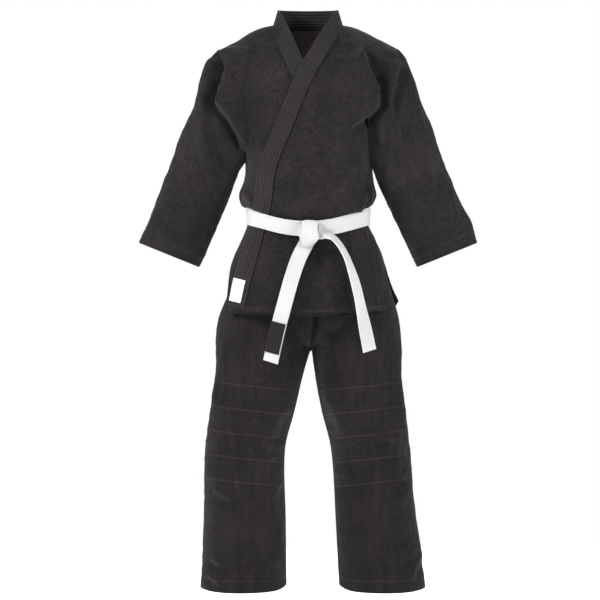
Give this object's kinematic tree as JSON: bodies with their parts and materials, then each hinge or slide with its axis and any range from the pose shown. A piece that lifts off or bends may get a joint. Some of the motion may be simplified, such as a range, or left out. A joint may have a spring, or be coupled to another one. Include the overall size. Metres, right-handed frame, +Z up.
{
  "type": "martial arts uniform",
  "caption": "Black martial arts uniform: wrap jacket with a quilted collar band, knotted white belt and wide drawstring trousers with knee patches, hanging as worn.",
  "frame": {"origin": "middle of the neck opening, at the height where the collar meets the shoulders", "axes": "+Z up towards the collar, front of the jacket towards -Y, wearer's left towards +X"},
  "size_m": [0.8774, 0.2994, 1.508],
  "materials": {
    "jacket_weave": "matte pearl-weave cotton",
    "collar_band": "matte cotton sewn in rows",
    "trouser_drill": "matte cotton drill",
    "belt_white": "matte white cotton webbing, sewn in rows",
    "label_white": "smooth woven label, blank",
    "rank_bar_black": "matte black cotton"
  },
  "bodies": {
    "jacket_and_seat": {"jacket_back_left": "jacket_weave", "jacket_back_right": "jacket_weave", "jacket_front_under": "jacket_weave", "jacket_front_over": "jacket_weave", "yoke_lining": "jacket_weave", "collar_back": "collar_band", "lapel_under": "collar_band", "lapel_over": "collar_band", "skirt_front_over": "jacket_weave", "skirt_front_under": "jacket_weave", "lapel_under_lower": "collar_band", "lapel_over_lower": "collar_band", "label_patch": "label_white", "vent_gusset_left": "jacket_weave", "vent_gusset_right": "jacket_weave", "belt_wrap_inner": "belt_white", "belt_wrap_outer": "belt_white", "belt_knot": "belt_white", "seat_front_left": "trouser_drill", "seat_back_left": "trouser_drill", "seat_front_right": "trouser_drill", "seat_back_right": "trouser_drill", "crotch_gusset": "trouser_drill", "waistband": "trouser_drill", "drawstring_loop_left": "trouser_drill", "drawstring_loop_right": "trouser_drill"},
    "sleeve_left_body": {"sleeve_left": "jacket_weave", "cuff_facing_left": "jacket_weave"},
    "sleeve_right_body": {"sleeve_right": "jacket_weave", "cuff_facing_right": "jacket_weave"},
    "skirt_back": {"skirt_back_left": "jacket_weave", "skirt_back_right": "jacket_weave"},
    "belt_tail_left_body": {"belt_tail_left": "belt_white"},
    "belt_tail_right_body": {"belt_tail_right": "belt_white", "rank_bar_front": "rank_bar_black", "rank_bar_rear": "rank_bar_black"},
    "leg_left": {"leg_front_left": "trouser_drill", "leg_back_left": "trouser_drill", "knee_patch_left": "trouser_drill", "hem_facing_left": "trouser_drill"},
    "leg_right": {"leg_front_right": "trouser_drill", "leg_back_right": "trouser_drill", "knee_patch_right": "trouser_drill", "hem_facing_right": "trouser_drill"}
  },
  "joints": [
    {"name": "sleeve_left_lift", "type": "hinge", "parent": "jacket_and_seat", "child": "sleeve_left_body", "pos_m": [0.245, 0, -0.077], "axis": [0, -1, 0], "range_deg": [0, 60]},
    {"name": "sleeve_right_lift", "type": "hinge", "parent": "jacket_and_seat", "child": "sleeve_right_body", "pos_m": [-0.245, 0, -0.077], "axis": [0, 1, 0], "range_deg": [0, 60]},
    {"name": "skirt_back_lift", "type": "hinge", "parent": "jacket_and_seat", "child": "skirt_back", "pos_m": [0, 0.09, -0.507], "axis": [1, 0, 0], "range_deg": [0, 20]},
    {"name": "belt_tail_left_swing", "type": "hinge", "parent": "jacket_and_seat", "child": "belt_tail_left_body", "pos_m": [0.054, -0.15, -0.556], "axis": [-1, 0, 0], "range_deg": [0, 60]},
    {"name": "belt_tail_right_swing", "type": "hinge", "parent": "jacket_and_seat", "child": "belt_tail_right_body", "pos_m": [-0.004, -0.147, -0.562], "axis": [-1, 0, 0], "range_deg": [0, 60]},
    {"name": "leg_left_swing", "type": "hinge", "parent": "jacket_and_seat", "child": "leg_left", "pos_m": [0.121, -0.007, -0.864], "axis": [-1, 0, 0], "range_deg": [-15, 30]},
    {"name": "leg_right_swing", "type": "hinge", "parent": "jacket_and_seat", "child": "leg_right", "pos_m": [-0.121, -0.007, -0.864], "axis": [-1, 0, 0], "range_deg": [-15, 30]}
  ]
}
